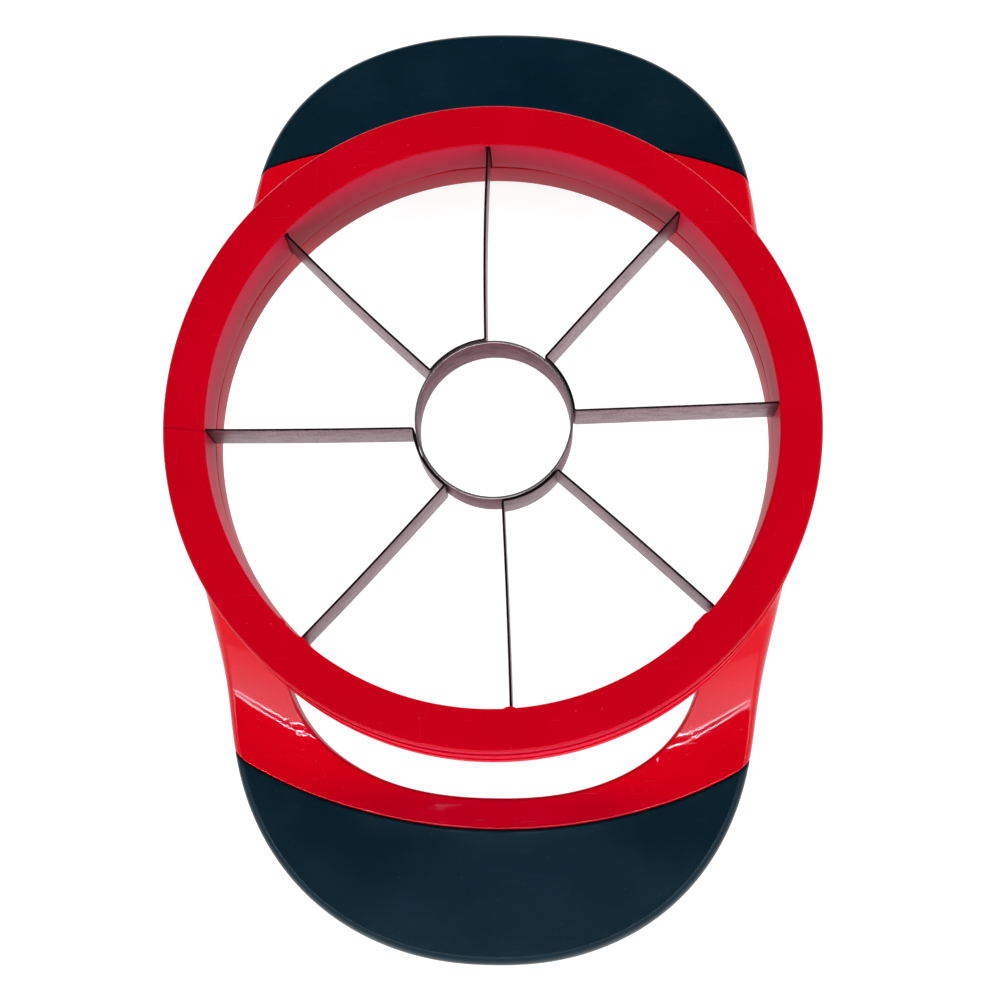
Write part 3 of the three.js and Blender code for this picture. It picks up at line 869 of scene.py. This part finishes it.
def corer():
    section = steel_section(CORER_R)

    def out_of_round(angle, r, depth):
        return CORER_WOBBLE * np.sin(3 * angle + 0.6) - HUB_OVAL * np.cos(2 * angle)

    rows = turned_rows(section, CORER_STEPS, out_of_round) + [HUB[0], HUB[1], 0]
    corners, faces = closed_rows(rows)
    steel = strip_steel("corer_steel", CORER_PAINTED_SHADE, CORER_TINT, blotches=0.9,
                        edge_painted_light=CORER_EDGE_PAINTED_HIGHLIGHT, edge_rough=0.15)
    ring = moulded("corer_ring_sheet", corners, faces, steel)
    lay_uv(ring, np.arange(CORER_STEPS) / CORER_STEPS * 2 * math.pi * CORER_R, len(section))
    return ring


corer_sheet = corer()
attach(corer_sheet, "root")
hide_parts("corer_ring")


# Retaining ring
# The second red moulding is the flat annulus on top with a long inner and a short outer skirt.
# It is pressed on over the blade feet, and its seams show on both walls of the ring.

FACE_THICK = 2.2
LIPS = [(-45.4, -41.2, 0.35), (-130.1, -127.2, 0.3), (-135.4, -133.5, 0.22), (-86.4, -84.1, 0.3)]
LIP_RAMP = 0.5
LIP_DEPTH = 9.0
RETAINING_STEPS = 720
SLOT_WIDTH = 0.85
SLOT_TOP = 0.95
SLOT_PAST = 1.0
KNIT_LINE = ((-54.75, -2.12), (-47.34, -2.69))
SEAM_OPEN = [(92, 15), (150, 8), (184, 18), (22, 12), (52, 9), (262, 25), (318, 12)]
SEAM_WIDER = 0.34
SEAM_CLOSED = 0.85
SEAM_SOFT = 1.4


def inner_lips(angle, r, depth):
    """Small flat lips left on the inner edge by the mould's shut-offs."""
    degrees = (np.degrees(angle) + 180) % 360 - 180
    total = np.zeros(np.broadcast(angle, r, depth).shape)
    on_wall = (r < RING_INNER_R + 0.8) & (depth < LIP_DEPTH)
    for start, end, proud in LIPS:
        rise = np.clip((degrees - start) / LIP_RAMP, 0, 1) * np.clip((end - degrees) / LIP_RAMP, 0, 1)
        total = total - proud * rise * on_wall
    return total


def skirt_sag(angle, r, depth):
    """How far the long skirt reaches down beyond its mean edge: it all but touches the frame,
    except along a few stretches, where the seam is open."""
    degrees = np.degrees(angle)
    opened = np.zeros(np.broadcast(angle, r, depth).shape)
    for middle, half in SEAM_OPEN:
        away = np.abs((degrees - middle + 180) % 360 - 180) / half
        opened = np.maximum(opened, np.clip(SEAM_SOFT - away * away * SEAM_SOFT, 0, 1))
    at_edge = (depth > INNER_SEAM - 0.5) & (r < RING_INNER_R + SKIRT + 0.2)
    return (SEAM_GAP * SEAM_CLOSED * (1 - opened) - SEAM_WIDER * opened) * at_edge


def retaining_ring():
    inner_skirt = RING_INNER_R + SKIRT
    outer_skirt = RING_OUTER_R - SKIRT
    section = rounded_section([
        (RING_INNER_R, 0, 0.45),
        (RING_OUTER_R, 0, 0.75),
        (RING_OUTER_R, OUTER_SEAM, 0.15),
        (outer_skirt, OUTER_SEAM, 0.1),
        (outer_skirt, FACE_THICK, 0.2),
        (inner_skirt, FACE_THICK, 0.2),
        (inner_skirt, INNER_SEAM, 0.1),
        (RING_INNER_R, INNER_SEAM, 0.15),
        (RING_INNER_R, LIP_DEPTH, 0),
    ])
    corners, faces = closed_rows(turned_rows(section, RETAINING_STEPS, inner_lips, skirt_sag))
    paint = red_abs("red_abs_retaining_ring", tone=0.98, gloss=0.25, tint=(1.0, 0.6, 0.85, 1),
                    knit_line=KNIT_LINE)
    return moulded("retaining_ring_moulding", corners, faces, paint)


retaining = retaining_ring()
for _, rim, hub, _, _, _ in STRIPS:
    for i in (0, 1):
        outer = polar(FOOT_R, rim[i])
        inward = HUB + polar(STRIP_HUB_R, hub[i]) - outer
        inward /= np.linalg.norm(inward)
        side = np.array([-inward[1], inward[0]]) * SLOT_WIDTH / 2
        near = outer + inward * (FOOT_R - RING_INNER_R - SKIRT - SLOT_PAST)
        far = outer + inward * (FOOT_R - RING_INNER_R + SLOT_PAST)
        plan = [near + side, far + side, far - side, near - side]
        depths = (INNER_SEAM + SLOT_PAST, SLOT_TOP)
        rows = np.array([[(x, y, HEIGHT - depth) for x, y in plan] for depth in depths])
        slot_corners, slot_faces = closed_rows(rows, loop=False)
        join_or_cut(retaining, moulded("slot", slot_corners, slot_faces, None), "DIFFERENCE")
retaining.data.shade_smooth()
retaining.data.set_sharp_from_angle(angle=math.radians(35))
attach(retaining, "root")
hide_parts("retaining_ring")


# Floor, light and camera
# A plain pale floor and a soft studio tent: light from low all round and from the front, and a
# dark ceiling that the flat faces reflect, as round a camera that looks down.

FLOOR_GLOW = 0.84
FLOOR_GREY = (0.42, 0.42, 0.42, 1)
FLOOR_HALF = 4.0
CEILING_HEIGHT = 1.3
CEILING_R = 1.95
CEILING_SIDES = 48
CEILING_GREY = (0.005, 0.005, 0.005, 1)
WORLD_LIGHT = 0.24
LIT_PLACE = (0, 0, 0.03)
SOFTBOXES = [
    ("right_back", (0.75, 0.35, 0.85), 0.9, 0.9, 6.1),
    ("left_back", (-0.75, 0.35, 0.85), 0.9, 0.9, 4.5),
    ("front_fill", (0, -1.0, 0.5), 0.9, 0.5, 3.7),
    ("front_low", (0, -1.0, 0.14), 3.0, 0.25, 9.5),
    ("front_high", (0, -0.85, 0.50), 2.6, 0.34, 3.0),
    ("back_low", (0.35, 1.0, 0.33), 1.8, 0.3, 7.8),
]


def plain_sheet(name, corners, material):
    mesh = bpy.data.meshes.new(name)
    mesh.from_pydata(corners, [], [tuple(range(len(corners)))])
    sheet = bpy.data.objects.new(name, mesh)
    bpy.context.scene.collection.objects.link(sheet)
    mesh.materials.append(material)
    return sheet


def seen_directly(tree):
    """One for rays from the camera, from gloss and from transmission, else nought."""
    path = tree.nodes.new("ShaderNodeLightPath")
    total = path.outputs["Is Camera Ray"]
    for output in ("Is Glossy Ray", "Is Transmission Ray"):
        add = tree.nodes.new("ShaderNodeMath")
        add.operation = "MAXIMUM"
        tree.links.new(total, add.inputs[0])
        tree.links.new(path.outputs[output], add.inputs[1])
        total = add.outputs[0]
    return total


floor_paint = bpy.data.materials.new("floor_paint")
floor_paint.use_nodes = True
floor_shader = floor_paint.node_tree.nodes["Principled BSDF"]
floor_shader.inputs["Base Color"].default_value = FLOOR_GREY
floor_shader.inputs["Roughness"].default_value = 0.9
floor_shader.inputs["Specular IOR Level"].default_value = 0.0
floor_shader.inputs["Emission Color"].default_value = (1, 1, 1, 1)
glow = floor_paint.node_tree.nodes.new("ShaderNodeMath")
glow.operation = "MULTIPLY"
glow.inputs[1].default_value = FLOOR_GLOW
floor_paint.node_tree.links.new(seen_directly(floor_paint.node_tree), glow.inputs[0])
floor_paint.node_tree.links.new(glow.outputs[0], floor_shader.inputs["Emission Strength"])
plain_sheet("floor", [(-FLOOR_HALF, -FLOOR_HALF, 0), (FLOOR_HALF, -FLOOR_HALF, 0),
                      (FLOOR_HALF, FLOOR_HALF, 0), (-FLOOR_HALF, FLOOR_HALF, 0)], floor_paint)

ceiling_paint = bpy.data.materials.new("ceiling_paint")
ceiling_paint.use_nodes = True
ceiling_shader = ceiling_paint.node_tree.nodes["Principled BSDF"]
ceiling_shader.inputs["Base Color"].default_value = CEILING_GREY
ceiling_shader.inputs["Specular IOR Level"].default_value = 0.0
ceiling_angles = np.linspace(0, 2 * math.pi, CEILING_SIDES, endpoint=False)
ceiling_corners = [
    (CEILING_R * math.cos(a), CEILING_R * math.sin(a), CEILING_HEIGHT) for a in ceiling_angles]
ceiling = plain_sheet("ceiling", ceiling_corners, ceiling_paint)
ceiling.visible_camera = False
ceiling.visible_diffuse = False
ceiling.visible_shadow = False

world = bpy.data.worlds.new("tent")
world.use_nodes = True
bpy.context.scene.world = world
background = world.node_tree.nodes["Background"]
background.inputs["Color"].default_value = (1, 1, 1, 1)
level = world.node_tree.nodes.new("ShaderNodeMapRange")
level.inputs["To Min"].default_value = WORLD_LIGHT
level.inputs["To Max"].default_value = 1.0
world.node_tree.links.new(seen_directly(world.node_tree), level.inputs["Value"])
world.node_tree.links.new(level.outputs["Result"], background.inputs["Strength"])


for name, place, width, height, watts in SOFTBOXES:
    light = bpy.data.lights.new(name, "AREA")
    light.shape = "RECTANGLE"
    light.size = width
    light.size_y = height
    light.energy = watts
    lamp = bpy.data.objects.new(name, light)
    lamp.location = place
    lamp.rotation_mode = "QUATERNION"
    lamp.rotation_quaternion = (Vector(LIT_PLACE) - Vector(place)).to_track_quat("-Z", "Y")
    lamp.visible_glossy = False
    lamp.visible_camera = False
    bpy.context.scene.collection.objects.link(lamp)


def glossy_only(name, corners, faces, strength):
    """A glowing stage mesh that only reflections show, with its material and shader."""
    paint = bpy.data.materials.new(name)
    paint.use_nodes = True
    shader = paint.node_tree.nodes["Principled BSDF"]
    shader.inputs["Base Color"].default_value = (0, 0, 0, 1)
    shader.inputs["Specular IOR Level"].default_value = 0.0
    shader.inputs["Emission Color"].default_value = (1, 1, 1, 1)
    shader.inputs["Emission Strength"].default_value = strength
    mesh = bpy.data.meshes.new(name)
    mesh.from_pydata(corners, [], faces)
    mesh.materials.append(paint)
    glow = bpy.data.objects.new(name, mesh)
    bpy.context.scene.collection.objects.link(glow)
    glow.visible_camera = False
    glow.visible_diffuse = False
    glow.visible_shadow = False
    return paint, shader


# The tent's front wall, brighter towards the top
WALL_Y = -0.95
WALL_HALF = 1.6
WALL_LOW, WALL_HIGH = 0.0, 0.61
WALL_DIM, WALL_BRIGHT = 2.8, 10.5
wall_paint, wall_shader = glossy_only("tent_front", [
    (-WALL_HALF, WALL_Y, WALL_LOW), (WALL_HALF, WALL_Y, WALL_LOW),
    (WALL_HALF, WALL_Y, WALL_HIGH), (-WALL_HALF, WALL_Y, WALL_HIGH)], [(0, 1, 2, 3)], 1.0)
wall_place = wall_paint.node_tree.nodes.new("ShaderNodeTexCoord")
wall_split = wall_paint.node_tree.nodes.new("ShaderNodeSeparateXYZ")
wall_level = wall_paint.node_tree.nodes.new("ShaderNodeMapRange")
set_range(wall_level, WALL_LOW, WALL_HIGH, WALL_DIM, WALL_BRIGHT)
wall_paint.node_tree.links.new(wall_place.outputs["Object"], wall_split.inputs[0])
wall_paint.node_tree.links.new(wall_split.outputs["Z"], wall_level.inputs["Value"])
wall_paint.node_tree.links.new(wall_level.outputs["Result"], wall_shader.inputs["Emission Strength"])

# Two rows of small lamps along the front of the tent's roof
LAMP_SPACING = 0.0083
LAMP_HALF_WIDTH = 0.0022
LAMP_HALF_HEIGHT = 0.0060
LAMP_GLOW = 160.0
LAMPS = 72
LAMP_SIDES = 8
LAMP_ROWS = (-0.540, -0.588)
LAMP_Z = 0.380
LAMP_AIM = Vector((0, -0.045, 0.03))
lamp_corners, lamp_faces = [], []
for row_y in LAMP_ROWS:
    for i in range(LAMPS):
        middle = Vector(((i - (LAMPS - 1) / 2) * LAMP_SPACING, row_y, LAMP_Z))
        aim = (LAMP_AIM - middle).to_track_quat("Z", "Y")
        first = len(lamp_corners)
        for k in range(LAMP_SIDES):
            a = k * 2 * math.pi / LAMP_SIDES
            rim_point = Vector((LAMP_HALF_WIDTH * math.cos(a), LAMP_HALF_HEIGHT * math.sin(a), 0))
            lamp_corners.append(middle + aim @ rim_point)
        lamp_faces.append(list(range(first, first + LAMP_SIDES)))
glossy_only("roof_lamps", lamp_corners, lamp_faces, LAMP_GLOW)

# The tent's dark back, which only reflections show
BACK_HALF, BACK_Y, BACK_HIGH = 0.6, 0.3, 0.5
BACK_GLOW = 0.05
glossy_only("tent_back", [
    (-BACK_HALF, BACK_Y, 0), (BACK_HALF, BACK_Y, 0),
    (BACK_HALF, BACK_Y, BACK_HIGH), (-BACK_HALF, BACK_Y, BACK_HIGH)], [(0, 1, 2, 3)], BACK_GLOW)

# The camera, fitted to the outlines of the ring and the handles
CAMERA_PLACE = (0.01175, -0.06937, 0.3847)
CAMERA_LENS = 71.47
PHOTO_TURN = math.radians(1.2)
CAMERA_TILT = math.radians(9.85)
CAMERA_LEAN = math.radians(1.55)
camera_data = bpy.data.cameras.new("camera")
camera_data.sensor_width = 36.0
camera_data.lens = CAMERA_LENS
camera_data.clip_start = 0.01
camera_data.clip_end = 20
camera = bpy.data.objects.new("camera", camera_data)
bpy.context.scene.collection.objects.link(camera)
back = Vector((math.sin(CAMERA_LEAN), -math.sin(CAMERA_TILT) * math.cos(CAMERA_LEAN),
               math.cos(CAMERA_TILT) * math.cos(CAMERA_LEAN)))
right = Vector((0, 1, 0)).cross(back).normalized()
up = back.cross(right)
turn = Matrix.Rotation(PHOTO_TURN, 3, "Z")
axes = [turn @ axis for axis in (right, up, back)]
camera.matrix_world = Matrix.LocRotScale(
    Vector(CAMERA_PLACE), Matrix(axes).transposed().to_quaternion(), None)
bpy.context.scene.camera = camera
bpy.context.scene.view_settings.view_transform = "Standard"
